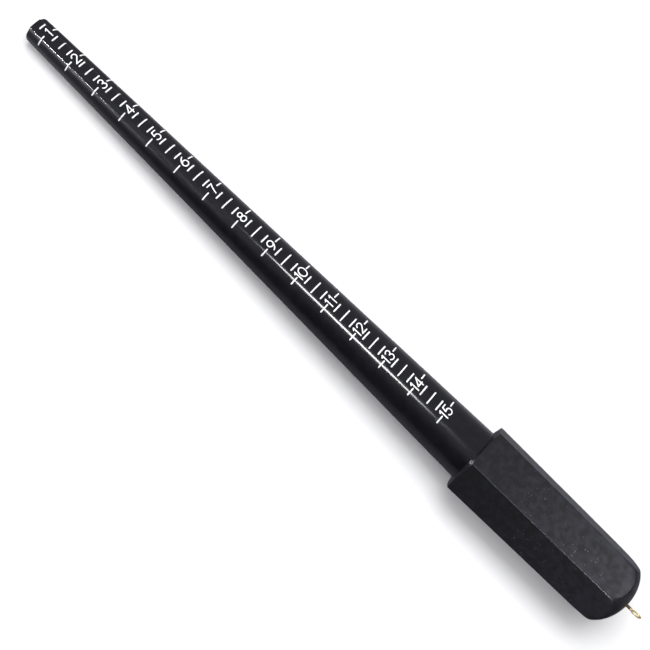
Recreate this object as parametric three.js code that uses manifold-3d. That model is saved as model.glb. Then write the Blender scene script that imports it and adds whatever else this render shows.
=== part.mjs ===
// Ring-sizing mandrel: a tapered plastic stick with a groove for set stones, a hexagonal
// plastic handle, and a brass screw eye to hang it by.
// Millimetres. +X runs along the axis from the tip to the butt, and +Z is the side of the
// ring-size scale, opposite the groove. The origin is the centre of the tip's flat end face.
import * as THREE from "three";
import { mergeVertices } from "three/addons/utils/BufferGeometryUtils.js";
import Module from "manifold-3d";

const wasm = await Module();
wasm.setup();

// ---- Driving dimensions ----

// The stick's taper: a ring of US size N rests where the stick's diameter equals its bore.
const SIZE_0_DIAMETER = 11.63;
const DIAMETER_PER_SIZE = 0.8128;
const SIZE_PITCH = 16.8; // along the axis, from one whole size to the next
const TIP_TO_SIZE_1 = 6.4;
const TIP_EDGE_RADIUS = 0.7;

// The scale is printed on a land of a flatter curve than the taper, so its edges stand proud at
// the tip. It sinks into the taper towards the middle of the stick.
const LAND_RADIUS = 12.4;
const LAND_HALF_ANGLE_DEG = 28; // seen from the axis
const LAND_TURN_DEG = 8; // of its middle from +Z towards -Y
const LAND_SINK = 0.0028; // per millimetre along the stick
const LAND_END = 129;

const GROOVE_RADIUS = 3.3; // of its round bottom
const GROOVE_DEPTH = 2.0; // below the stick's surface, the same all along

// The handle: a drafted hexagon with a shallow cone in front and a domed butt.
const HANDLE_FRONT = 261.8;
const HANDLE_END = 348.3;
const CORNER_X = 263; // where the front cone meets the hexagon's corners
const CORNER_RADIUS = 18.0; // at CORNER_X
const CORNER_DRAFT = 0.017; // radius lost per millimetre towards the butt
const DOME_LENGTH = 12;

// The stick's wide end sits in the handle's mouth on a shoulder, and a round root goes deeper.
const SHOULDER = HANDLE_FRONT + 3.2;
const ROOT_RADIUS = 11.2;
const ROOT_END = 320.5;
const SOCKET_END = 323;

// The stick is cored from the root's end.
const CORE_START = 10;
const CORE_TIP_RADIUS = 2.6;
const CORE_RADIUS = 8.4;

// Behind the socket the handle is hollow round a boss that holds the screw eye.
const CAVITY_RADIUS = 10.2;
const CAVITY_END = 344;
const BOSS_RADIUS = 3.2;
const BOSS_START = 334;

// The screw eye: one brass wire, bent to a loop above the butt.
const WIRE_RADIUS = 0.36;
const SHANK_RADIUS = 0.65; // of the thick shank between the thread and the loop
const SHANK_END = HANDLE_END + 2.8;
const SHANK_TAPER = 0.6; // length over which it narrows to the wire
const SCREW_RADIUS = 0.6;
const SCREW_START = 339;
const SCREW_POINT = 1.6; // length of its tapered point
const LOOP_RADIUS = 2.2; // to the middle of the wire
const LOOP_CENTRE = HANDLE_END + 5.7;
const LOOP_LEAD_DEG = 17; // from the shank to where the wire joins the loop
const LOOP_FREE_END_DEG = 34; // from the wire's free end on round to the shank
const BEND_LENGTH = 0.9; // shank taken up by the bend into the loop
const LOOP_TURN_DEG = 6; // of the loop's plane from the vertical

const FIT = 0.3; // gap between pieces that touch
const SCREW_FIT = 0.15; // gap round the screw, which turns in its boss
const PAST = 1; // how far a cutter runs past the face it opens
const ROUND_SIDES = 72;

// ---- Shape helpers ----

const { degToRad } = THREE.MathUtils;
const TAPER_SLOPE = DIAMETER_PER_SIZE / 2 / SIZE_PITCH;
const cornerRadius = (x) => CORNER_RADIUS - CORNER_DRAFT * (x - CORNER_X);

function stickRadius(x) {
  const size = 1 + (x - TIP_TO_SIZE_1) / SIZE_PITCH;
  return (SIZE_0_DIAMETER + DIAMETER_PER_SIZE * size) / 2;
}

// Turns a profile of [x, radius] points about the X axis.
function turned(profile, sides = ROUND_SIDES) {
  const points = profile.map(([x, radius]) => new THREE.Vector2(radius, x));
  return new THREE.LatheGeometry(points, sides).rotateZ(-Math.PI / 2);
}

// Profile points of an elliptical arc about [x, radius], angles in degrees from +X outwards.
function arc([x, radius], [lengthwise, across], fromDeg, toDeg, steps) {
  return Array.from({ length: steps + 1 }, (_, i) => {
    const angle = degToRad(fromDeg + ((toDeg - fromDeg) * i) / steps);
    return [x + lengthwise * Math.cos(angle), radius + across * Math.sin(angle)];
  });
}

function solid(geometry) {
  const bare = geometry.clone();
  bare.deleteAttribute("normal");
  bare.deleteAttribute("uv");
  const merged = mergeVertices(bare, 1e-4);
  return new wasm.Manifold(
    new wasm.Mesh({
      numProp: 3,
      vertProperties: merged.attributes.position.array,
      triVerts: new Uint32Array(merged.index.array),
    }),
  );
}

function named(name, shape, material) {
  const { vertProperties, triVerts } = shape.getMesh();
  const geometry = new THREE.BufferGeometry();
  geometry.setAttribute("position", new THREE.BufferAttribute(vertProperties, 3));
  geometry.setIndex(new THREE.BufferAttribute(triVerts, 1));
  geometry.computeVertexNormals();
  const mesh = new THREE.Mesh(geometry, material);
  mesh.name = name;
  return mesh;
}

// ---- The stick ----

function stick() {
  const edge = TIP_EDGE_RADIUS;
  const outside = turned([
    [0, 0],
    ...arc([edge, stickRadius(edge) - edge], [edge, edge], 180, 90, 4),
    [SHOULDER, stickRadius(SHOULDER)],
    [SHOULDER, ROOT_RADIUS],
    [ROOT_END, ROOT_RADIUS],
    [ROOT_END, 0],
  ]);
  const core = turned([
    [CORE_START, 0],
    [CORE_START, CORE_TIP_RADIUS],
    [SHOULDER, CORE_RADIUS],
    [ROOT_END + PAST, CORE_RADIUS],
    [ROOT_END + PAST, 0],
  ]);
  return solid(outside).add(land()).subtract(solid(core)).subtract(groove());
}

// A round bar from the tip to x = end, whose highest line starts at the stick's surface at the
// tip and rises by slope.
function barUnderTop(radius, end, slope) {
  const bar = new THREE.CylinderGeometry(radius, radius, end + 2 * PAST, 96);
  bar.rotateZ(-Math.PI / 2);
  bar.translate(end / 2, 0, -radius);
  bar.rotateY(-Math.atan(slope));
  return bar.translate(0, 0, stickRadius(0));
}

function land() {
  const halfAngle = degToRad(LAND_HALF_ANGLE_DEG);
  const reach = LAND_RADIUS + PAST;
  const sector = new THREE.Shape([
    new THREE.Vector2(0, 0),
    new THREE.Vector2(reach * Math.sin(halfAngle), reach * Math.cos(halfAngle)),
    new THREE.Vector2(-reach * Math.sin(halfAngle), reach * Math.cos(halfAngle)),
  ]);
  const wedge = new THREE.ExtrudeGeometry(sector, {
    depth: LAND_END - TIP_EDGE_RADIUS,
    bevelEnabled: false,
  });
  wedge.rotateX(Math.PI / 2);
  wedge.rotateZ(Math.PI / 2);
  wedge.translate(TIP_EDGE_RADIUS, 0, 0);
  const bar = barUnderTop(LAND_RADIUS, LAND_END, TAPER_SLOPE - LAND_SINK);
  const turn = new THREE.Matrix4().makeRotationX(degToRad(LAND_TURN_DEG));
  return solid(bar.applyMatrix4(turn)).intersect(solid(wedge.applyMatrix4(turn)));
}

// The groove's cutter is a round bar along the taper, opposite the scale.
function groove() {
  const bar = new THREE.CylinderGeometry(GROOVE_RADIUS, GROOVE_RADIUS, SHOULDER + 2 * PAST, 40);
  bar.rotateZ(-Math.PI / 2);
  bar.translate(SHOULDER / 2, 0, GROOVE_DEPTH - GROOVE_RADIUS);
  bar.rotateY(Math.atan(TAPER_SLOPE));
  return solid(bar.translate(0, 0, -stickRadius(0)));
}

// ---- The handle ----

function handle() {
  const length = HANDLE_END - HANDLE_FRONT;
  const hexagon = new THREE.CylinderGeometry(
    cornerRadius(HANDLE_END),
    cornerRadius(HANDLE_FRONT),
    length,
    6,
  );
  hexagon.rotateZ(-Math.PI / 2);
  hexagon.rotateX(Math.PI / 6); // a flat on top and one underneath, corners at the sides
  hexagon.translate(HANDLE_FRONT + length / 2, 0, 0);

  // The turned envelope gives the front cone and the domed butt.
  const mouthRadius = stickRadius(SHOULDER) + FIT;
  const coneSlope = (CORNER_X - HANDLE_FRONT) / (CORNER_RADIUS - mouthRadius);
  const outside = CORNER_RADIUS + PAST;
  const domeStart = HANDLE_END - DOME_LENGTH;
  const envelope = turned([
    [HANDLE_FRONT, 0],
    [HANDLE_FRONT, mouthRadius],
    [HANDLE_FRONT + coneSlope * (outside - mouthRadius), outside],
    [domeStart, outside],
    ...arc([domeStart, 0], [DOME_LENGTH, cornerRadius(domeStart)], 90, 0, 14),
  ]);

  // One cutter for the mouth, the socket, and the cavity round the boss.
  const hollow = turned([
    [HANDLE_FRONT - PAST, 0],
    [HANDLE_FRONT - PAST, mouthRadius],
    [SHOULDER + FIT, mouthRadius],
    [SHOULDER + FIT, ROOT_RADIUS + FIT],
    [SOCKET_END, ROOT_RADIUS + FIT],
    [SOCKET_END, CAVITY_RADIUS],
    [CAVITY_END, CAVITY_RADIUS],
    [CAVITY_END, BOSS_RADIUS],
    [BOSS_START, BOSS_RADIUS],
    [BOSS_START, 0],
  ]);
  const screwHole = turned(
    [
      [SCREW_START - PAST, 0],
      [SCREW_START - PAST, SCREW_RADIUS + SCREW_FIT],
      [HANDLE_END + PAST, SCREW_RADIUS + SCREW_FIT],
      [HANDLE_END + PAST, 0],
    ],
    24,
  );
  return solid(hexagon)
    .intersect(solid(envelope))
    .subtract(solid(hollow))
    .subtract(solid(screwHole));
}

// ---- The screw eye ----

// The loop's centre line in the XZ plane, from its lead on the shank's upper side round to
// the wire's free end beside the shank.
class LoopCurve extends THREE.Curve {
  getPoint(t, target = new THREE.Vector3()) {
    const start = degToRad(180 - LOOP_LEAD_DEG);
    const sweep = degToRad(360 - LOOP_LEAD_DEG - LOOP_FREE_END_DEG);
    const angle = start - sweep * t;
    return target.set(
      LOOP_CENTRE + LOOP_RADIUS * Math.cos(angle),
      0,
      LOOP_RADIUS * Math.sin(angle),
    );
  }
}

function screwEye() {
  const loop = new LoopCurve();
  const shankEnd = LOOP_CENTRE - LOOP_RADIUS;
  const bendStart = new THREE.Vector3(shankEnd - BEND_LENGTH, 0, 0);
  const bendCorner = new THREE.Vector3(shankEnd - WIRE_RADIUS / 2, 0, 0);
  const centreLine = new THREE.CurvePath();
  centreLine.add(new THREE.LineCurve3(new THREE.Vector3(HANDLE_END, 0, 0), bendStart));
  centreLine.add(new THREE.QuadraticBezierCurve3(bendStart, bendCorner, loop.getPoint(0)));
  centreLine.add(loop);
  const section = new THREE.Shape().absarc(0, 0, WIRE_RADIUS, 0, 2 * Math.PI);
  const wire = new THREE.ExtrudeGeometry(section, {
    extrudePath: centreLine,
    steps: 56,
    curveSegments: 6,
  });

  const screw = turned(
    [
      [SCREW_START, 0],
      [SCREW_START + SCREW_POINT, SCREW_RADIUS],
      [HANDLE_END - FIT, SCREW_RADIUS],
      [HANDLE_END, SHANK_RADIUS],
      [SHANK_END, SHANK_RADIUS],
      [SHANK_END + SHANK_TAPER, WIRE_RADIUS],
      [SHANK_END + SHANK_TAPER, 0],
    ],
    16,
  );
  return solid(screw).add(solid(wire));
}

// ---- The assembly ----

const glossBlack = new THREE.MeshStandardMaterial({ color: 0x0b0b0c, roughness: 0.18, metalness: 0 });
const satinBlack = new THREE.MeshStandardMaterial({ color: 0x17171a, roughness: 0.45, metalness: 0 });
const brass = new THREE.MeshStandardMaterial({ color: 0xc9a24a, roughness: 0.25, metalness: 1 });

const eye = named("screw_eye", screwEye(), brass);
eye.rotation.x = degToRad(LOOP_TURN_DEG);

const ringMandrel = new THREE.Group();
ringMandrel.name = "ring_mandrel";
ringMandrel.add(named("stick", stick(), glossBlack), named("handle", handle(), satinBlack), eye);

export default ringMandrel;
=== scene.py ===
# The looks of the ring mandrel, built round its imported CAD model: a glossy tapered stick with
# its printed size scale, a satin hexagonal handle, and a brass screw eye.
import math

import bpy
import numpy as np
from mathutils import Matrix, Vector, noise


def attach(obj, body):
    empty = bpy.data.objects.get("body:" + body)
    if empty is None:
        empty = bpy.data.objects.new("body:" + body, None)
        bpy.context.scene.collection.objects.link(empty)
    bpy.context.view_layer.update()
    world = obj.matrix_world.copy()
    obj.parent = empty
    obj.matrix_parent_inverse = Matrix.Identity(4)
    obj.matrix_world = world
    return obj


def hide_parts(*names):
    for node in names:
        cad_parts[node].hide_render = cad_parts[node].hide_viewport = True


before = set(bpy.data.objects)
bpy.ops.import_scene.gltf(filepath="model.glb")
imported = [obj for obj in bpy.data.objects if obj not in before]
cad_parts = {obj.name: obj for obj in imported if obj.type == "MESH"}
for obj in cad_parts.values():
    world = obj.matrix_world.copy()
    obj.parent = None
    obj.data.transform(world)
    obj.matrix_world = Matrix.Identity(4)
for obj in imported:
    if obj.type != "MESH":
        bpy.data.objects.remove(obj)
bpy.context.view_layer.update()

MM = 0.001  # sizes below are in millimetres, and Blender's are in metres

# ---- Driving dimensions, the same as the CAD model's ----
# +X runs from the tip to the butt. Angles round the axis count from +Z, the scale's side, to +Y.

SIZE_0_DIAMETER = 11.63
DIAMETER_PER_SIZE = 0.8128
SIZE_PITCH = 16.8
TIP_TO_SIZE_1 = 6.4
TAPER_SLOPE = DIAMETER_PER_SIZE / 2 / SIZE_PITCH

LAND_RADIUS = 12.4
LAND_HALF_ANGLE = 28
LAND_TURN = -8
LAND_SINK = 0.0028
LAND_EDGE = 1.5  # half of the angle over which its edge drops to the taper

GROOVE_RADIUS = 3.3
GROOVE_DEPTH = 2.0
GROOVE_LIP = 0.55  # over which the groove's lips are rounded
TIP_EDGE_RADIUS = 0.7

HANDLE_FRONT = 261.8
HANDLE_END = 348.3
CORNER_X = 263
CORNER_RADIUS = 18.0
CORNER_DRAFT = 0.017
DOME_LENGTH = 12
SHOULDER = HANDLE_FRONT + 3.2
ROOT_RADIUS = 11.2
ROOT_END = 320.5
SOCKET_END = 323
CORE_START = 10
CORE_TIP_RADIUS = 2.6
CORE_RADIUS = 8.4
CAVITY_RADIUS = 10.2
CAVITY_END = 344
BOSS_RADIUS = 3.2
BOSS_START = 334
HOLE_START = 338
FIT = 0.3

SCREW_START = 339
SCREW_RADIUS = 0.6
SCREW_POINT = 1.6
WIRE_RADIUS = 0.36
SHANK_RADIUS = 0.65
SHANK_END = HANDLE_END + 2.8
SHANK_TAPER = 0.6
LOOP_RADIUS = 2.2
LOOP_CENTRE = HANDLE_END + 5.7
LOOP_LEAD = 17
LOOP_FREE_END = 34
BEND_LENGTH = 0.9
LOOP_TURN = 6

# ---- The printed scale ----

SIZES = range(1, 16)
PRINT_TURN = 4.2  # of its middle from +Z towards +Y
INK_PROUD = 0.03
INK_THICKNESS = 0.05
DIGIT_STROKE = 0.53
DIGIT_WIDTH = 2.8  # between the middles of the strokes
DIGIT_HEIGHT = 4.35
LINE_STROKE = 0.62
TICK_STROKE = 0.68
LINE_FROM = -6.0  # the size line's ends across the scale
LINE_TO_SMALL = 5.8  # its far end up to size 6
LINE_TO_LARGE = 6.5  # and from size 10 on
LINE_GAP = 0.6  # between the size line and its number
STEM_GAP = -0.25  # the same before a number of two digits, under the flag of its 1
LEAST_NUMBER = 3.5  # width that the lines leave free for any number
WIDEST_PRINT = 0.95  # of the stick's radius
QUARTER_AT = 0.23  # of the pitch, from a number's line to the quarter mark beside it
QUARTER_HALF_LENGTH = 1.75  # of the quarter mark at size 1, with its growth per size
QUARTER_GROWTH = 0.068
HALF_HALF_LENGTH = 2.2  # of the half mark at size 1, with its growth per size and its most
HALF_GROWTH = 0.18
HALF_MOST = 3.35
PRINT_SKEW = 0.004  # along the stick per millimetre across it and per size
PRINT_SHIFT = 0.25  # of the whole artwork towards the butt
PRINT_WANDER = 0.9  # by which the lines stray along the stick
WANDER_SIZES = 10  # from one stray to the next
WANDER_MOST_AT = 11


def size_x(size):
    return TIP_TO_SIZE_1 + (size - 1) * SIZE_PITCH


def taper_radius(x):
    return (SIZE_0_DIAMETER + DIAMETER_PER_SIZE * (1 + (x - TIP_TO_SIZE_1) / SIZE_PITCH)) / 2


def corner_radius(x):
    return CORNER_RADIUS - CORNER_DRAFT * (x - CORNER_X)


# ---- Mesh helpers ----


def smooth_step(value, low, high):
    t = np.clip((value - low) / (high - low), 0, 1)
    return t * t * (3 - 2 * t)


def smooth_min(a, b, reach):
    """The smaller of a and b, rounded where they are nearer than reach."""
    h = np.clip(reach - np.abs(a - b), 0, None) / reach
    return np.minimum(a, b) - h * h * reach / 4


def bend(start, corner, end, steps):
    """Points of a parabola from start to end that leaves them towards corner, without its ends."""
    t = np.linspace(0, 1, steps + 2)[1:-1]
    start, corner, end = (np.asarray(p, float) for p in (start, corner, end))
    return [(1 - k) ** 2 * start + 2 * k * (1 - k) * corner + k * k * end for k in t]


def around(x, radius, angles):
    """A ring of points at x and radius, which may be one number or one for each angle."""
    a = np.radians(angles)
    x, radius = np.broadcast_to(x, a.shape), np.broadcast_to(radius, a.shape)
    return np.stack([x, radius * np.sin(a), radius * np.cos(a)], axis=-1)


def skin(rings, start, end):
    """A closed skin: a fan from the point start to the first ring, quads from ring to ring, and a fan
    to the point end. All rings have the same number of points."""
    rings = np.asarray(rings)
    count, sides = rings.shape[:2]
    vertices = np.vstack([rings.reshape(-1, 3), [start], [end]])
    first, last = count * sides, count * sides + 1
    faces = []
    for j in range(sides):
        k = (j + 1) % sides
        faces.append((first, j, k))
        for i in range(count - 1):
            faces.append((i * sides + j, (i + 1) * sides + j, (i + 1) * sides + k, i * sides + k))
        faces.append((last, (count - 1) * sides + k, (count - 1) * sides + j))
    return vertices, faces


def add_piece(name, vertices, faces, material, body):
    mesh = bpy.data.meshes.new(name)
    mesh.from_pydata([tuple(v) for v in np.asarray(vertices) * MM], [], faces)
    mesh.polygons.foreach_set("use_smooth", [True] * len(mesh.polygons))
    mesh.materials.append(material)
    piece = bpy.data.objects.new(name, mesh)
    bpy.context.scene.collection.objects.link(piece)
    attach(piece, body)
    return piece


FACE_AREA_WEIGHT = 60  # from 1 to 100: above 50, large faces count for more


def flat_faces_stay_flat(piece):
    """Normals follow the large faces, so that only the narrow ones at an edge turn with it."""
    modifier = piece.modifiers.new("face_weighted_normals", "WEIGHTED_NORMAL")
    modifier.weight = FACE_AREA_WEIGHT
    modifier.keep_sharp = True


# ---- The stick ----


def stick_radius(x, angles):
    """The stick's outside at x, from the axis: its taper, the scale's land and the groove."""
    taper = taper_radius(x)

    off = np.radians(np.asarray(angles) - LAND_TURN)
    drop = LAND_RADIUS - (taper_radius(0) + (TAPER_SLOPE - LAND_SINK) * x)
    across = np.clip(LAND_RADIUS**2 - (drop * np.sin(off)) ** 2, 0, None)
    land = np.sqrt(across) - drop * np.cos(off)
    from_middle = np.abs((np.degrees(off) + 180) % 360 - 180)
    inside = 1 - smooth_step(from_middle, LAND_HALF_ANGLE - LAND_EDGE, LAND_HALF_ANGLE + LAND_EDGE)
    outside = taper + np.clip(land - taper, 0, None) * inside

    below = np.radians(np.asarray(angles) - 180)
    centre = taper + GROOVE_RADIUS - GROOVE_DEPTH
    across = GROOVE_RADIUS**2 - (centre * np.sin(below)) ** 2
    hits = (across > 0) & (np.cos(below) > 0)
    groove = np.where(hits, centre * np.cos(below) - np.sqrt(np.clip(across, 0, None)), taper + 9)
    lip = np.where(hits, 0, np.abs(np.sin(below)) * centre - GROOVE_RADIUS)
    groove = np.where(hits | (np.cos(below) <= 0), groove, taper + lip)
    return smooth_min(outside, groove, GROOVE_LIP)


def stick_angles(x):
    """Angles round the stick, closest at the groove's lips, the parting lines and the land's edges."""
    taper = taper_radius(x)
    centre = taper + GROOVE_RADIUS - GROOVE_DEPTH
    lip_at = (taper**2 - GROOVE_RADIUS**2 + centre**2) / (2 * centre)
    lip = math.degrees(math.acos(lip_at / taper))
    marks = [
        -180,
        lip - 180,
        -90,
        LAND_TURN - LAND_HALF_ANGLE,
        LAND_TURN + LAND_HALF_ANGLE,
        90,
        180 - lip,
        180,
    ]
    steps = [16, 28, 26, 36, 28, 28, 16]
    angles = []
    for low, high, count in zip(marks, marks[1:], steps):
        t = np.arange(count) / count
        eased = 0.85 * (0.5 - 0.5 * np.cos(math.pi * t)) + 0.15 * t
        angles.extend(low + (high - low) * eased)
    return np.array(angles)


SEAM_DEPTH = 0.1
SEAM_HALF_WIDTH = 0.09
GATE_RADIUS = 1.05
GATE_DEPTH = 0.16


def tip_relief(y, z):
    """How deep the end face lies at y, z: a parting line across it, and the torn gate in its middle."""
    out = np.hypot(y, z)
    turn = np.arctan2(z, y)
    torn = np.array([noise.noise(Vector((1.7 * p, 1.7 * q, 0.0))) for p, q in zip(y, z)])
    rim = GATE_RADIUS * (1 + 0.1 * np.sin(3 * turn + 0.6) + 0.2 * torn)
    ring = GATE_DEPTH * np.exp(-(((out - rim) / 0.17) ** 2))
    core = 0.5 * GATE_DEPTH * (0.6 + torn) * (1 - smooth_step(out, 0.5 * rim, 0.9 * rim))
    wander = 0.04 * np.sin(0.9 * y)
    seam = SEAM_DEPTH * np.exp(-(((z - wander) / SEAM_HALF_WIDTH) ** 2))
    return ring + np.clip(core, 0, None) + seam * smooth_step(out, 0.8 * rim, 1.1 * rim)


FLASH_HEIGHT = 0.035  # of the parting line along the stick's sides
FLASH_HALF_WIDTH = 0.09


def flash(x, angles):
    from_side = np.radians(np.abs(np.abs(angles) - 90)) * taper_radius(x)
    return FLASH_HEIGHT * np.exp(-((from_side / FLASH_HALF_WIDTH) ** 2))


def build_stick(material):
    tip_angles = stick_angles(0)
    edge = TIP_EDGE_RADIUS
    face = stick_radius(0, tip_angles) - edge
    rings = []
    for share in [*np.linspace(0.012, 0.24, 20), 0.3, 0.4, 0.52, 0.64, 0.76, 0.86, 0.93, 0.97]:
        ring = around(0, face * share, tip_angles)
        ring[:, 0] = tip_relief(ring[:, 1], ring[:, 2])
        rings.append(ring)
    for turn in np.radians(np.linspace(0, 90, 8)):
        x = edge * (1 - math.cos(turn))
        inset = edge * (1 - math.sin(turn))
        rings.append(around(x, stick_radius(x, tip_angles) - inset, tip_angles))

    along = [0.76, 0.9, 1.2, 1.6, 2.3, *np.arange(3.5, SHOULDER - 4, 3.5), 262.5, SHOULDER - 0.4, SHOULDER]
    for x in along:
        angles = stick_angles(x)
        rings.append(around(x, stick_radius(x, angles) + flash(x, angles), angles))

    root_angles = stick_angles(SHOULDER)
    chamfer = 0.8
    for x, radius in [
        (SHOULDER, ROOT_RADIUS),
        (ROOT_END - chamfer, ROOT_RADIUS),
        (ROOT_END, ROOT_RADIUS - chamfer),
        (ROOT_END, CORE_RADIUS),
        (SHOULDER, CORE_RADIUS),
        (CORE_START, CORE_TIP_RADIUS),
    ]:
        rings.append(around(x, radius, root_angles))
    vertices, faces = skin(rings, (tip_relief(np.zeros(1), np.zeros(1))[0], 0, 0), (CORE_START, 0, 0))
    piece = add_piece("stick_moulding", vertices, faces, material, "tool")
    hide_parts("stick")
    return piece


# ---- The printed scale ----


def arc(centre, radii, start, end):
    """Points of an elliptical arc, from one angle in degrees to the other."""
    count = max(2, round(abs(end - start) / 9))
    turns = [math.radians(start + (end - start) * i / count) for i in range(count + 1)]
    return [(centre[0] + radii[0] * math.cos(t), centre[1] + radii[1] * math.sin(t)) for t in turns]


def curve(start, corner, end):
    return [start, *[tuple(p) for p in bend(start, corner, end, 8)], end]


def digit_strokes():
    """Each digit as lines of points [across, up] from its middle, in the middle of the strokes."""
    w = DIGIT_WIDTH / 2
    h = DIGIT_HEIGHT / 2
    bowl = (w - 0.03, 0.31 * DIGIT_HEIGHT)
    six = [
        curve((0.5 * w, h), (-0.8 * w, 0.62 * h), (-bowl[0], -h + bowl[1])),
        arc((0, -h + bowl[1]), bowl, 180, 540),
    ]
    return {
        "0": [arc((0, 0), (1.2 * w, h), 0, 360)],
        "1": [[(-0.42, h - 0.75), (0.28, h), (0.28, -h)]],
        "2": [arc((0, h - 1.15), (0.85 * w, 1.15), 172, -32) + [(-w, -h), (w, -h)]],
        "3": [
            arc((-0.1, h - 1.02), (0.8 * w, 1.02), 155, -90) + arc((-0.1, -1.02), (0.95 * w, 1.13), 90, -152)
        ],
        "4": [[(w, -0.5 * h), (-w, -0.5 * h), (0.5 * w, h), (0.5 * w, -h)]],
        "5": [
            [(0.8 * w, h), (-0.55 * w, h), (-0.8 * w, 0.12 * h)]
            + arc((-0.05, -h + 1.33), (0.97 * w, 1.33), 128, -145)
        ],
        "6": six,
        "7": [[(-0.9 * w, h)] + curve((0.9 * w, h), (0.05 * w, 0.15 * h), (-0.2 * w, -h))],
        "8": [
            arc((0, h - 0.98), (0.76 * w, 0.98), 0, 360),
            arc((0, -h + 1.17), (0.97 * w, 1.17), 0, 360),
        ],
        "9": [[(-u, -v) for u, v in line] for line in six],
    }


NARROW_ONE = 1.5  # width that a 1 takes beside another digit
DIGIT_SPACE = 0.45
ONES_APART = 0.55  # further when both digits are 1


def number_strokes(number):
    """The strokes of a number about its middle, and half of its width with the strokes' own."""
    shapes = digit_strokes()
    text = str(number)
    widths = [NARROW_ONE if d == "1" else DIGIT_WIDTH + DIGIT_STROKE for d in text]
    space = DIGIT_SPACE + (ONES_APART if text == "11" else 0)
    total = sum(widths) + space * (len(text) - 1)
    left = -total / 2
    lines = []
    for digit, width in zip(text, widths):
        middle = left + width / 2
        lines += [[(u + middle, v) for u, v in line] for line in shapes[digit]]
        left += width + space
    return lines, total / 2


def distance_to(lines, u, v):
    """From each point u, v to the nearest of the lines."""
    nearest = np.full(u.shape, 1e9)
    for line in lines:
        for (u0, v0), (u1, v1) in zip(line, line[1:]):
            du, dv = u1 - u0, v1 - v0
            t = np.clip(((u - u0) * du + (v - v0) * dv) / (du * du + dv * dv), 0, 1)
            nearest = np.minimum(nearest, np.hypot(u - u0 - t * du, v - v0 - t * dv))
    return nearest


GLYPH_STEP = 0.11  # of the grid that a number's outline is cut from


def number_sheet(number):
    """A number as a flat sheet of small faces: the grid's cells, cut where the strokes end."""
    lines, half_width = number_strokes(number)
    reach_u = half_width + 0.3
    reach_v = DIGIT_HEIGHT / 2 + DIGIT_STROKE
    us = np.arange(-reach_u, reach_u, GLYPH_STEP)
    vs = np.arange(-reach_v, reach_v, GLYPH_STEP)
    grid_u, grid_v = np.meshgrid(us, vs, indexing="ij")
    depth = DIGIT_STROKE / 2 - distance_to(lines, grid_u, grid_v)
    points, index, faces = [], {}, []

    def vertex(key, u, v):
        if key not in index:
            index[key] = len(points)
            points.append((u, v))
        return index[key]

    for i in range(len(us) - 1):
        for j in range(len(vs) - 1):
            corners = [(i, j), (i + 1, j), (i + 1, j + 1), (i, j + 1)]
            if all(depth[c] <= 0 for c in corners):
                continue
            face = []
            for here, after in zip(corners, corners[1:] + corners[:1]):
                a, b = depth[here], depth[after]
                if a > 0:
                    face.append(vertex(here, us[here[0]], vs[here[1]]))
                if (a > 0) != (b > 0):
                    share = a / (a - b)
                    u = us[here[0]] + share * (us[after[0]] - us[here[0]])
                    v = vs[here[1]] + share * (vs[after[1]] - vs[here[1]])
                    face.append(vertex((min(here, after), max(here, after)), u, v))
            faces.append(tuple(face))
    return points, faces


def bar_sheet(low, high, stroke):
    """A straight stroke across the scale from low to high, with round ends, as a flat sheet."""
    radius = stroke / 2
    cap = [radius * (1 - math.cos(t)) for t in np.radians(np.linspace(15, 90, 6))]
    straight = np.linspace(low + radius, high - radius, max(3, round((high - low) / 0.3)))
    stations = [low + c for c in cap[:-1]] + list(straight) + [high - c for c in reversed(cap[:-1])]
    points, faces = [(low, 0.0)], []
    for u in stations:
        inside = max(0.0, low + radius - u, u - high + radius)
        half = math.sqrt(radius**2 - inside**2)
        points += [(u, -half), (u, 0.0), (u, half)]
    points.append((high, 0.0))
    faces += [(0, 1, 2), (0, 2, 3)]
    for i in range(len(stations) - 1):
        a = 1 + 3 * i
        faces += [(a, a + 3, a + 4, a + 1), (a + 1, a + 4, a + 5, a + 2)]
    a = 1 + 3 * (len(stations) - 1)
    faces += [(a, a + 3, a + 1), (a + 1, a + 3, a + 2)]
    return points, faces


def printed_x(size):
    """Where the artwork puts a size, which strays a little from the taper's own place for it."""
    phase = 2 * math.pi * (size - WANDER_MOST_AT) / WANDER_SIZES
    return size_x(size) + PRINT_SHIFT + PRINT_WANDER * math.cos(phase)


def on_stick(points, size):
    """Flat points [across, up] of the scale laid on the stick, with their middle at a size. The
    scale is printed straight down, so its width is measured across and not round the stick."""
    points = np.array(points)
    x = printed_x(size) - points[:, 1] - PRINT_SKEW * size * points[:, 0]
    across = points[:, 0] / taper_radius(x)
    angles = PRINT_TURN + np.degrees(np.arcsin(across))
    return around(x, stick_radius(x, angles) + INK_PROUD, angles)


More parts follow.
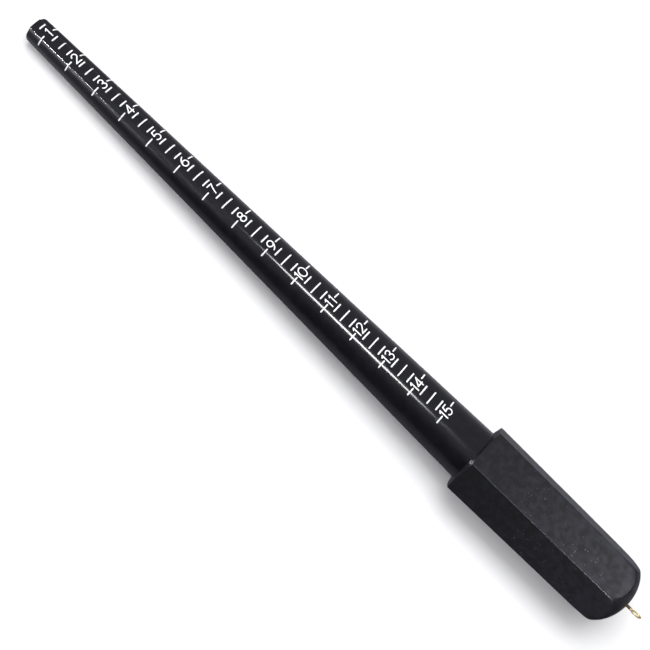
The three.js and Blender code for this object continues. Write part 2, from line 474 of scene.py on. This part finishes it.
def build_scale(material):
    vertices, faces = [], []

    def lay(sheet, size):
        first = len(vertices)
        vertices.extend(on_stick(sheet[0], size))
        faces.extend(tuple(first + k for k in face) for face in sheet[1])

    for size in SIZES:
        half_width = max(number_strokes(size)[1], LEAST_NUMBER / 2)
        before = half_width + (LINE_GAP if size < 10 else STEM_GAP)
        widest = WIDEST_PRINT * taper_radius(size_x(size))
        line_to = LINE_TO_SMALL + (LINE_TO_LARGE - LINE_TO_SMALL) * float(smooth_step(size, 6, 10))
        lay(number_sheet(size), size)
        lay(bar_sheet(max(LINE_FROM, -widest), -before, LINE_STROKE), size)
        lay(bar_sheet(half_width + LINE_GAP, min(line_to, widest), LINE_STROKE), size)
        quarter = QUARTER_HALF_LENGTH + QUARTER_GROWTH * (size - 1)
        half = min(HALF_HALF_LENGTH + HALF_GROWTH * (size - 0.5), HALF_MOST)
        lay(bar_sheet(-quarter, quarter, TICK_STROKE), size - QUARTER_AT)
        if size < SIZES[-1]:
            lay(bar_sheet(-half, half, LINE_STROKE), size + 0.5)
            lay(bar_sheet(-quarter, quarter, TICK_STROKE), size + QUARTER_AT)
    piece = add_piece("scale_print", vertices, faces, material, "tool")
    film = piece.modifiers.new("film", "SOLIDIFY")
    film.thickness = INK_THICKNESS * MM
    film.offset = -1
    return piece


# ---- The handle ----

EDGE_RADIUS = 0.4  # of the hexagon's long edges
FRONT_ROUND = 0.2  # taken off the front edges of the flats
DOME_BLEND = 0.7  # over which a flat turns into the dome
DOME_RUN_OUT = 4.0  # before the dome, over which it rises clear of the flats
MOUTH_GAP = 0.08  # between the stick and the handle's mouth
MOUTH_RADIUS = taper_radius(HANDLE_FRONT) + MOUTH_GAP
MOUTH_LIP = 0.25  # by which the mouth's rounded lip widens it
MOUTH_LIP_DEPTH = 0.5
HOLE_RADIUS = 0.7  # of the hole in the butt that the screw goes through
HOLE_RIM = 0.35
HOLE_RIM_DEPTH = 0.5


def hexagon_share(angles):
    """The radius of a hexagon with rounded corners at each angle, as a share of its corner radius.
    Its flats face +Z and -Z."""
    apothem = math.cos(math.radians(30))
    rounding = EDGE_RADIUS / CORNER_RADIUS
    corner_centre = (apothem - rounding) / apothem
    from_flat = np.abs((np.asarray(angles) + 30) % 60 - 30)
    flat = apothem / np.cos(np.radians(from_flat))
    off = np.radians(30 - from_flat)
    reach = np.clip(rounding**2 - (corner_centre * np.sin(off)) ** 2, 0, None)
    corner = corner_centre * np.cos(off) + np.sqrt(reach)
    tangent = math.atan2(rounding * 0.5, corner_centre + rounding * apothem)
    return np.where(off < tangent, corner, flat)


def handle_angles():
    tangent = math.degrees(EDGE_RADIUS * 0.5 / CORNER_RADIUS)
    angles = []
    for side in range(6):
        middle = 60 * side
        corner = middle + 30
        across = np.array([-1, -0.985, -0.93, -0.8, -0.6, -0.4, -0.2, 0, 0.2, 0.4, 0.6, 0.8, 0.93, 0.985])
        angles.extend(middle + across * (30 - tangent))
        angles.extend(corner + tangent * np.linspace(-1, 1, 9)[:-1])
    return np.array(angles)


def dome_radius(x):
    start = HANDLE_END - DOME_LENGTH
    widest = corner_radius(start)
    share = np.clip((x - start) / DOME_LENGTH, 0, 1)
    before = np.clip((start - x) / DOME_RUN_OUT, 0, None)
    return widest * np.sqrt(np.clip(1 - share**2, 0, None)) + before**2


def build_handle(material):
    angles = handle_angles()
    share = hexagon_share(angles)
    start = HANDLE_END - DOME_LENGTH
    widest = corner_radius(start)

    # Where each flat meets the dome, as the angle of the dome's ellipse.
    meets = np.zeros_like(angles)
    for _ in range(12):
        x = start + DOME_LENGTH * np.sin(meets)
        meets = np.arccos(np.clip(share * corner_radius(x) / widest, 0, 1))
    meets_x = start + DOME_LENGTH * np.sin(meets)

    def outside(x):
        return smooth_min(share * corner_radius(x), dome_radius(x), DOME_BLEND)

    rim_radius = HOLE_RADIUS + HOLE_RIM
    rim = math.acos(rim_radius / widest)
    rim_x = start + DOME_LENGTH * math.sin(rim)
    hole_end = HANDLE_END - HOLE_RIM_DEPTH
    rings = [around(HOLE_START, HOLE_RADIUS, angles), around(hole_end, HOLE_RADIUS, angles)]
    for x, radius in bend((hole_end, HOLE_RADIUS), (rim_x, HOLE_RADIUS), (rim_x, rim_radius), 4):
        rings.append(around(x, radius, angles))
    for t in np.linspace(0, 1, 26):
        x = start + DOME_LENGTH * np.sin(rim + (meets - rim) * t)
        rings.append(around(x, outside(x), angles))

    # The front edge of each flat, where the cone meets it.
    mouth = taper_radius(SHOULDER) + FIT
    cone_slope = (CORNER_RADIUS - mouth) / (CORNER_X - HANDLE_FRONT)
    edge_radius = share * corner_radius(CORNER_X)
    edge_x = HANDLE_FRONT + (edge_radius - mouth) / cone_slope
    flat_end = edge_x + FRONT_ROUND
    for t in [0.03, 0.07, 0.12, 0.18, 0.26, 0.36, 0.46, 0.56, 0.66, 0.76, 0.86, 0.94, 0.98, 1.0]:
        x = meets_x + (flat_end - meets_x) * t
        rings.append(around(x, outside(x), angles))
    cone_run = FRONT_ROUND / math.hypot(1, cone_slope)
    for k in np.linspace(0, 1, 9)[1:]:
        far = share * corner_radius(flat_end)
        near_x = edge_x - cone_run
        near = edge_radius - cone_run * cone_slope
        x = (1 - k) ** 2 * flat_end + 2 * k * (1 - k) * edge_x + k * k * near_x
        radius = (1 - k) ** 2 * far + 2 * k * (1 - k) * edge_radius + k * k * near
        rings.append(around(x, radius, angles))
    lip_radius = MOUTH_RADIUS + MOUTH_LIP
    lip_x = HANDLE_FRONT + (lip_radius - mouth) / cone_slope
    for t in [0.1, 0.5, 0.9, 1.0]:
        x = near_x + (lip_x - near_x) * t
        radius = near + (lip_radius - near) * t
        rings.append(around(x, radius, angles))
    bore_x = lip_x + MOUTH_LIP_DEPTH
    lip_corner = (lip_x - 0.05, MOUTH_RADIUS)
    for x, radius in bend((lip_x, lip_radius), lip_corner, (bore_x, MOUTH_RADIUS), 4):
        rings.append(around(x, radius, angles))
    for x, radius in [
        (bore_x, MOUTH_RADIUS),
        (SHOULDER + FIT, taper_radius(SHOULDER) + MOUTH_GAP),
        (SHOULDER + FIT, ROOT_RADIUS + FIT),
        (SOCKET_END, ROOT_RADIUS + FIT),
        (SOCKET_END, CAVITY_RADIUS),
        (CAVITY_END, CAVITY_RADIUS),
        (CAVITY_END, BOSS_RADIUS),
        (BOSS_START, BOSS_RADIUS),
    ]:
        rings.append(around(x, radius, angles))
    vertices, faces = skin(rings, (HOLE_START, 0, 0), (BOSS_START, 0, 0))
    faces = [face[::-1] for face in faces]
    piece = add_piece("handle_moulding", vertices, faces, material, "tool")
    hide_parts("handle")
    flat_faces_stay_flat(piece)
    return piece


# ---- The screw eye ----

THREAD_PITCH = 0.6
THREAD_DEPTH = 0.17
WIRE_SIDES = 20
WIRE_END_ROUND = 0.14
SCREW_TIP = 0.05  # from the thread's first ring to its point


def shank_radius(x):
    narrowed = smooth_step(x, SHANK_END, SHANK_END + SHANK_TAPER)
    return float(SHANK_RADIUS + (WIRE_RADIUS - SHANK_RADIUS) * narrowed)


def eye_path():
    """The wire's middle from the screw's point to its free end, as [x, z, radius] with a step for
    each ring. The radius is None along the thread, where it changes round the ring."""
    screw = [(x, 0.0, None) for x in np.arange(SCREW_START, HANDLE_END - 0.35, THREAD_PITCH / 10)]
    shank_end = LOOP_CENTRE - LOOP_RADIUS
    bend_start = shank_end - BEND_LENGTH
    shank = [(x, 0.0, SHANK_RADIUS) for x in np.linspace(HANDLE_END - 0.1, bend_start, 8)]
    turns = np.radians(np.linspace(180 - LOOP_LEAD, LOOP_FREE_END - 180, 60))
    loop = [(LOOP_CENTRE + LOOP_RADIUS * math.cos(t), LOOP_RADIUS * math.sin(t), WIRE_RADIUS) for t in turns]
    corner = (shank_end - WIRE_RADIUS / 2, 0.0)
    into = [(x, z, shank_radius(x)) for x, z in bend((bend_start, 0.0), corner, loop[0][:2], 7)]
    return screw + shank + into + loop


def thread_radius(x, turns):
    """The screw's radius at x: a thread of rounded V-shaped ridges that starts at a point."""
    phase = (x / THREAD_PITCH - turns / (2 * math.pi)) % 1
    ridge = 1 - np.abs(2 * phase - 1)
    full = SCREW_RADIUS - THREAD_DEPTH + THREAD_DEPTH * smooth_step(ridge, 0.1, 0.9)
    run_out = SHANK_RADIUS + (full - SHANK_RADIUS) * smooth_step(HANDLE_END - x, 0.3, 1.0)
    return run_out * min(1.0, 0.12 + (x - SCREW_START) / SCREW_POINT)


def build_screw_eye(material):
    path = eye_path()
    centres = np.array([(x, 0.0, z) for x, z, _ in path])
    along = np.gradient(centres, axis=0)
    along /= np.linalg.norm(along, axis=1)[:, None]
    turns = np.linspace(0, 2 * math.pi, WIRE_SIDES, endpoint=False)
    side = np.array([0.0, 1.0, 0.0])
    rings = []
    for (x, _, radius), centre, ahead in zip(path, centres, along):
        across = np.cross(ahead, side)
        size = thread_radius(x, turns) if radius is None else np.full(WIRE_SIDES, radius)
        outward = np.outer(np.cos(turns), across) + np.outer(np.sin(turns), side)
        rings.append(centre + size[:, None] * outward)
    last_ring = rings[-1] - centres[-1]
    for t in np.radians([30, 60, 90]):
        middle = centres[-1] + along[-1] * WIRE_END_ROUND * math.sin(t)
        rings.append(middle + last_ring * (1 - WIRE_END_ROUND / WIRE_RADIUS * (1 - math.cos(t))))
    tip = centres[0] - along[0] * SCREW_TIP
    vertices, faces = skin(rings, tip, centres[-1] + along[-1] * WIRE_END_ROUND)
    vertices = vertices @ np.array(Matrix.Rotation(math.radians(LOOP_TURN), 3, "X")).T
    piece = add_piece("brass_screw_eye", vertices, faces, material, "eye")
    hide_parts("screw_eye")
    return piece


# ---- Materials ----


class Nodes:
    """A material's node tree, with short calls to add and link nodes."""

    def __init__(self, name):
        self.material = bpy.data.materials.new(name)
        self.material.use_nodes = True
        self.tree = self.material.node_tree
        self.shader = self.tree.nodes["Principled BSDF"]

    def set(self, **values):
        for key, value in values.items():
            self.shader.inputs[key.replace("_", " ")].default_value = value

    def add(self, kind, inputs=None, **settings):
        node = self.tree.nodes.new(kind)
        for key, value in settings.items():
            setattr(node, key, value)
        for key, value in (inputs or {}).items():
            if isinstance(value, bpy.types.NodeSocket):
                self.tree.links.new(value, node.inputs[key])
            else:
                node.inputs[key].default_value = value
        return node

    def link(self, output, key):
        self.tree.links.new(output, self.shader.inputs[key])

    def place(self, scale=(1, 1, 1)):
        """Object coordinates in millimetres, stretched by scale."""
        coordinates = self.add("ShaderNodeTexCoord")
        size = [k / MM for k in scale]
        mapping = self.add("ShaderNodeMapping", {"Vector": coordinates.outputs["Object"], "Scale": size})
        return mapping.outputs["Vector"]

    def noise(self, scale, stretch=(1, 1, 1), detail=3.0, roughness=0.55):
        """Noise with scale cells per millimetre, stretched along the axes."""
        node = self.add(
            "ShaderNodeTexNoise",
            {"Vector": self.place(stretch), "Scale": scale, "Detail": detail, "Roughness": roughness},
        )
        return node.outputs["Fac"]

    def axis(self, letter):
        """One object coordinate, in metres."""
        coordinates = self.add("ShaderNodeTexCoord")
        parts = self.add("ShaderNodeSeparateXYZ", {"Vector": coordinates.outputs["Object"]})
        return parts.outputs[letter]

    def specks(self, scale, radius):
        """Small round specks, scale to a millimetre at most. The radius is a share of the room each
        one has, and each is a little brighter or dimmer than the next."""
        cells = self.add("ShaderNodeTexVoronoi", {"Vector": self.place(), "Scale": scale})
        chance = self.add("ShaderNodeSeparateColor", {"Color": cells.outputs["Color"]}).outputs["Red"]
        dot = self.between(cells.outputs["Distance"], 1, 0, 0.4 * radius, radius)
        return self.math("MULTIPLY", dot, self.between(chance, 0, 0.5, 0.5, 0.95))

    def between(self, factor, low, high, from_low=0.0, from_high=1.0):
        """A number from low to high as factor runs from from_low to from_high."""
        ends = {"From Min": from_low, "From Max": from_high, "To Min": low, "To Max": high}
        return self.add("ShaderNodeMapRange", {"Value": factor, **ends}).outputs["Result"]

    def colour(self, factor, low, high):
        """A colour between low and high, each of which is a colour or another node's output."""
        node = self.add("ShaderNodeMix", {"Factor": factor}, data_type="RGBA")
        for socket, value in ((node.inputs[6], low), (node.inputs[7], high)):
            if isinstance(value, bpy.types.NodeSocket):
                self.tree.links.new(value, socket)
            else:
                socket.default_value = (*value, 1)
        return node.outputs[2]

    def math(self, operation, a, b):
        return self.add("ShaderNodeMath", {0: a, 1: b}, operation=operation).outputs[0]

    def bump(self, height, depth, strength, normal=None):
        """A bump of depth millimetres."""
        inputs = {"Height": height, "Distance": depth * MM, "Strength": strength}
        if normal is not None:
            inputs["Normal"] = normal
        return self.add("ShaderNodeBump", inputs).outputs["Normal"]


def gloss_black():
    """Glossy moulded plastic with fine marks drawn along the stick, and a dull end face."""
    nodes = Nodes("gloss_black")
    marks = nodes.noise(9.0, stretch=(0.02, 1, 1), detail=4)
    waves = nodes.noise(0.12, stretch=(0.5, 1, 1), detail=1)
    cloud = nodes.noise(0.25, detail=2)
    share = nodes.between(cloud, 0, 1, 0.35, 0.65)
    nodes.link(nodes.colour(share, (0.0056, 0.0056, 0.0072), (0.0078, 0.0079, 0.0100)), "Base Color")
    gloss = nodes.between(marks, 0.1, 0.18, 0.3, 0.7)
    at_tip = nodes.between(nodes.axis("X"), 0.34, 0.0, 0.22 * MM, 0.4 * MM)
    nodes.link(nodes.math("ADD", gloss, at_tip), "Roughness")
    normal = nodes.bump(waves, 0.06, 0.4)
    nodes.link(nodes.bump(marks, 0.004, 0.15, normal), "Normal")
    return nodes.material


def satin_black():
    """Satin moulded plastic: mottled, finely grained and lightly scuffed, with painted light that makes it
    paler towards the butt, and with specks of dust that lie thickest just past the handle's middle."""
    nodes = Nodes("satin_black")
    grain = nodes.noise(5.5, detail=5, roughness=0.7)
    mottle = nodes.noise(0.33, detail=4, roughness=0.6)
    scuffs = nodes.noise(1.1, stretch=(0.25, 1, 1), detail=6, roughness=0.75)
    scuffed = nodes.between(scuffs, 0, 0.1, 0.6, 0.8)
    x = nodes.axis("X")
    before = nodes.between(x, 0.25, 1.0, 275 * MM, 305 * MM)
    after = nodes.between(x, 0.3, 1.0, 340 * MM, 318 * MM)
    patch = nodes.between(nodes.noise(0.09, detail=2), 0.1, 1, 0.42, 0.6)
    where = nodes.math("MULTIPLY", nodes.math("MULTIPLY", before, after), patch)
    worn = nodes.math("MAXIMUM", nodes.math("MULTIPLY", nodes.specks(0.8, 0.24), where), scuffed)
    # painted light: the handle's colour grows paler towards the butt, where light falls brighter on it
    painted_light_to_butt = nodes.between(x, -0.25, 0.35, 262 * MM, 345 * MM)
    share = nodes.math("ADD", nodes.between(mottle, 0, 0.7, 0.38, 0.62), painted_light_to_butt)
    tone = nodes.colour(share, (0.0015, 0.0015, 0.0028), (0.0160, 0.0162, 0.0240))
    nodes.link(nodes.colour(worn, tone, (0.3, 0.3, 0.32)), "Base Color")
    satin = nodes.between(grain, 0.3, 0.38, 0.3, 0.7)
    nodes.link(nodes.math("ADD", satin, nodes.between(mottle, 0, 0.07, 0.6, 0.4)), "Roughness")
    normal = nodes.bump(mottle, 0.06, 0.25)
    nodes.link(nodes.bump(grain, 0.02, 0.3, normal), "Normal")
    return nodes.material


def brass():
    """Drawn brass wire, a little tarnished: bright round the loop, and dull on the shank, with painted shade
    that darkens it where it lies in shadow.
    """
    nodes = Nodes("brass")
    tarnish = nodes.noise(1.6, detail=4)
    drawn = nodes.noise(9.0, stretch=(0.3, 1, 1), detail=3)
    share = nodes.between(tarnish, 0, 1, 0.42, 0.7)
    bright = nodes.colour(share, (0.95, 0.78, 0.40), (0.78, 0.56, 0.20))
    # painted shade: the shank's dark colour stands in for the shadow it lies in
    dark = nodes.colour(share, (0.10, 0.05, 0.015), (0.05, 0.025, 0.008))
    loop = nodes.between(nodes.axis("X"), 0, 1, (SHANK_END - 0.6) * MM, (SHANK_END + 0.3) * MM)
    nodes.link(nodes.colour(loop, dark, bright), "Base Color")
    nodes.set(Metallic=0.6)
    gloss = nodes.between(drawn, 0.18, 0.32, 0.3, 0.7)
    nodes.link(nodes.math("MAXIMUM", gloss, nodes.between(loop, 0.5, 0.1)), "Roughness")
    nodes.link(nodes.bump(drawn, 0.01, 0.25), "Normal")
    return nodes.material


def print_white():
    """Screen ink: white, a little uneven where it is thin."""
    nodes = Nodes("print_white")
    thin = nodes.noise(3.0, detail=4)
    tone = nodes.colour(nodes.between(thin, 0, 1, 0.3, 0.7), (0.86, 0.86, 0.86), (0.93, 0.93, 0.94))
    nodes.link(tone, "Base Color")
    nodes.link(nodes.between(thin, 0.42, 0.58, 0.3, 0.7), "Roughness")
    nodes.link(nodes.bump(thin, 0.01, 0.2), "Normal")
    return nodes.material


# ---- The studio ----

# The tool rests on the groove's lips at its tip and on the handle's lower front edge.
REST_TIP = (0.0, -5.35)
REST_HANDLE = (262.6, -15.62)
FLOOR_REACH = 6.0  # metres from the tool to each side


def build_floor():
    slope = (REST_HANDLE[1] - REST_TIP[1]) / (REST_HANDLE[0] - REST_TIP[0])
    height = (REST_TIP[1] - slope * REST_TIP[0]) * MM
    reach = FLOOR_REACH
    corners = [(-reach, -reach), (reach, -reach), (reach, reach), (-reach, reach)]
    vertices = [(x, y, height + slope * x) for x, y in corners]
    mesh = bpy.data.meshes.new("floor")
    mesh.from_pydata(vertices, [], [(0, 1, 2, 3)])
    nodes = Nodes("pale_floor")
    nodes.set(Base_Color=(0.86, 0.86, 0.86, 1), Roughness=0.9, Specular_IOR_Level=0.0)
    mesh.materials.append(nodes.material)
    floor = bpy.data.objects.new("floor", mesh)
    bpy.context.scene.collection.objects.link(floor)
    floor.visible_glossy = False


WORLD_BLUE = 1.12  # of the studio's light, as a share of its red


class Sky:
    """The world's node tree, with calls for what build_world puts together."""

    def __init__(self, world):
        world.use_nodes = True
        self.tree = world.node_tree
        coordinates = self.tree.nodes.new("ShaderNodeTexCoord")
        parts = self.tree.nodes.new("ShaderNodeSeparateXYZ")
        self.tree.links.new(coordinates.outputs["Generated"], parts.inputs[0])
        turn = self.tree.nodes.new("ShaderNodeMath")
        turn.operation = "ARCTAN2"
        self.tree.links.new(parts.outputs["Y"], turn.inputs[0])
        self.tree.links.new(parts.outputs["Z"], turn.inputs[1])
        self.turn = self.share(turn.outputs[0], -math.pi, math.pi)
        self.x = parts.outputs["X"]

    def share(self, value, low, high):
        """How far a value has come from low to high, as 0 to 1."""
        node = self.tree.nodes.new("ShaderNodeMapRange")
        node.inputs["From Min"].default_value = low
        node.inputs["From Max"].default_value = high
        self.tree.links.new(value, node.inputs["Value"])
        return node.outputs["Result"]

    def band(self, stops):
        """Grey levels by the angle round the tool, as (degrees, level)."""
        ramp = self.tree.nodes.new("ShaderNodeValToRGB")
        self.tree.links.new(self.turn, ramp.inputs["Fac"])
        elements = ramp.color_ramp.elements
        while len(elements) < len(stops):
            elements.new(0.5)
        for element, (degrees, level) in zip(elements, stops):
            element.position = (degrees + 180) / 360
            element.color = (level, level, level * WORLD_BLUE, 1)
        return ramp.outputs["Color"]

    def mix(self, share, first, second):
        node = self.tree.nodes.new("ShaderNodeMix")
        node.data_type = "RGBA"
        self.tree.links.new(share, node.inputs["Factor"])
        for socket, value in ((node.inputs[6], first), (node.inputs[7], second)):
            if isinstance(value, bpy.types.NodeSocket):
                self.tree.links.new(value, socket)
            else:
                socket.default_value = (*value, 1)
        return node.outputs[2]


def build_world():
    """A studio seen along the tool's axis: how bright each direction round it is, from straight up,
    positive towards +Y, for directions that lean to the tip, for level ones and for ones that lean
    to the butt. Only reflections and soft light come from it: the camera sees it white."""
    level = [
        (-180, 0.07),
        (-141, 0.22),
        (-117, 0.18),
        (-108, 0.04),
        (-98, 0.015),
        (-66, 0.02),
        (-50, 0.12),
        (-34, 0.3),
        (80, 0.3),
        (100, 0.34),
        (122, 0.55),
        (150, 0.22),
        (180, 0.07),
    ]
    to_tip = [
        (-180, 0.06),
        (-149, 0.55),
        (-113, 0.38),
        (-89, 0.3),
        (-77, 0.55),
        (-65, 0.9),
        (-52, 0.8),
        (-41, 0.6),
        (-20, 0.4),
        (56, 0.32),
        (65, 1.5),
        (74, 0.3),
        (92, 0.14),
        (112, 0.14),
        (132, 0.36),
        (180, 0.06),
    ]
    to_butt = [
        (-180, 0.03),
        (-60, 0.01),
        (-30, 0.04),
        (40, 0.06),
        (100, 0.1),
        (140, 0.28),
        (180, 0.03),
    ]
    world = bpy.data.worlds.new("studio")
    bpy.context.scene.world = world
    sky = Sky(world)
    colour = sky.mix(sky.share(sky.x, -0.28, -0.41), sky.band(level), sky.band(to_tip))
    colour = sky.mix(sky.share(sky.x, 0.05, 0.5), colour, sky.band(to_butt))
    path = sky.tree.nodes.new("ShaderNodeLightPath")
    colour = sky.mix(path.outputs["Is Camera Ray"], colour, (1, 1, 1))
    sky.tree.links.new(colour, sky.tree.nodes["Background"].inputs["Color"])


def add_light(name, at, towards, size, watts, glossy_only=False):
    """A flat light whose first side lies along X as nearly as it can. One for soft light isn't seen
    in reflections, and one for a highlight lights nothing else."""
    light = bpy.data.lights.new(name, "AREA")
    light.shape = "ELLIPSE" if glossy_only else "RECTANGLE"
    light.size, light.size_y = size
    light.energy = watts
    lamp = bpy.data.objects.new(name, light)
    back = (Vector(at) - Vector(towards)).normalized()
    across = (Vector((1, 0, 0)) - back * back.x).normalized()
    up = back.cross(across)
    lamp.matrix_world = Matrix.Translation(at) @ Matrix((across, up, back)).transposed().to_4x4()
    lamp.visible_glossy = glossy_only
    lamp.visible_diffuse = not glossy_only
    bpy.context.scene.collection.objects.link(lamp)


def build_lights():
    """Soft light from above, and a lamp for each highlight: along the stick past size 8, along it as
    far as size 4, on the handle's upper ridge, and on its top face near the butt."""
    middle = (0.18, 0.0, 0.0)
    add_light("key", (0.15, 0.2, 0.8), middle, (0.6, 0.5), 3.6)
    add_light("overhead", (0.18, 0.0, 1.3), middle, (2.6, 2.6), 28.0)
    add_light("strip_butt", (0.13, -0.146, 0.472), middle, (0.17, 0.045), 0.9, glossy_only=True)
    add_light("strip_tip", (-0.22, -0.374, 0.331), (0.02, 0.0, 0.0), (0.15, 0.04), 9.0, glossy_only=True)
    add_light("ridge_lamp", (0.52, -0.305, 0.38), (0.335, 0.0, 0.0), (0.18, 0.07), 2.8, glossy_only=True)
    add_light("butt_softbox", (0.60, 0.2, 0.5), (0.34, 0.0, 0.0), (0.3, 0.25), 0.45, glossy_only=True)


CAMERA_AT = (0.22346, -0.18382, 0.47236)
CAMERA_LOOKS_AT = (0.18007, -0.00455, 0.0)
CAMERA_UP = (-0.69631, 0.64749, 0.30970)
LENS = 66.94  # on a 36 mm sensor


def build_camera():
    camera = bpy.data.cameras.new("camera")
    camera.lens = LENS
    camera.sensor_width = 36
    camera.clip_start = 0.01
    camera.clip_end = 50
    holder = bpy.data.objects.new("camera", camera)
    back = (Vector(CAMERA_AT) - Vector(CAMERA_LOOKS_AT)).normalized()
    right = Vector(CAMERA_UP).cross(back).normalized()
    up = back.cross(right)
    holder.matrix_world = Matrix.Translation(CAMERA_AT) @ Matrix((right, up, back)).transposed().to_4x4()
    bpy.context.scene.collection.objects.link(holder)
    bpy.context.scene.camera = holder


build_camera()
build_stick(gloss_black())
build_scale(print_white())
build_handle(satin_black())
build_screw_eye(brass())
build_floor()
build_world()
build_lights()
bpy.context.scene.view_settings.view_transform = "Standard"
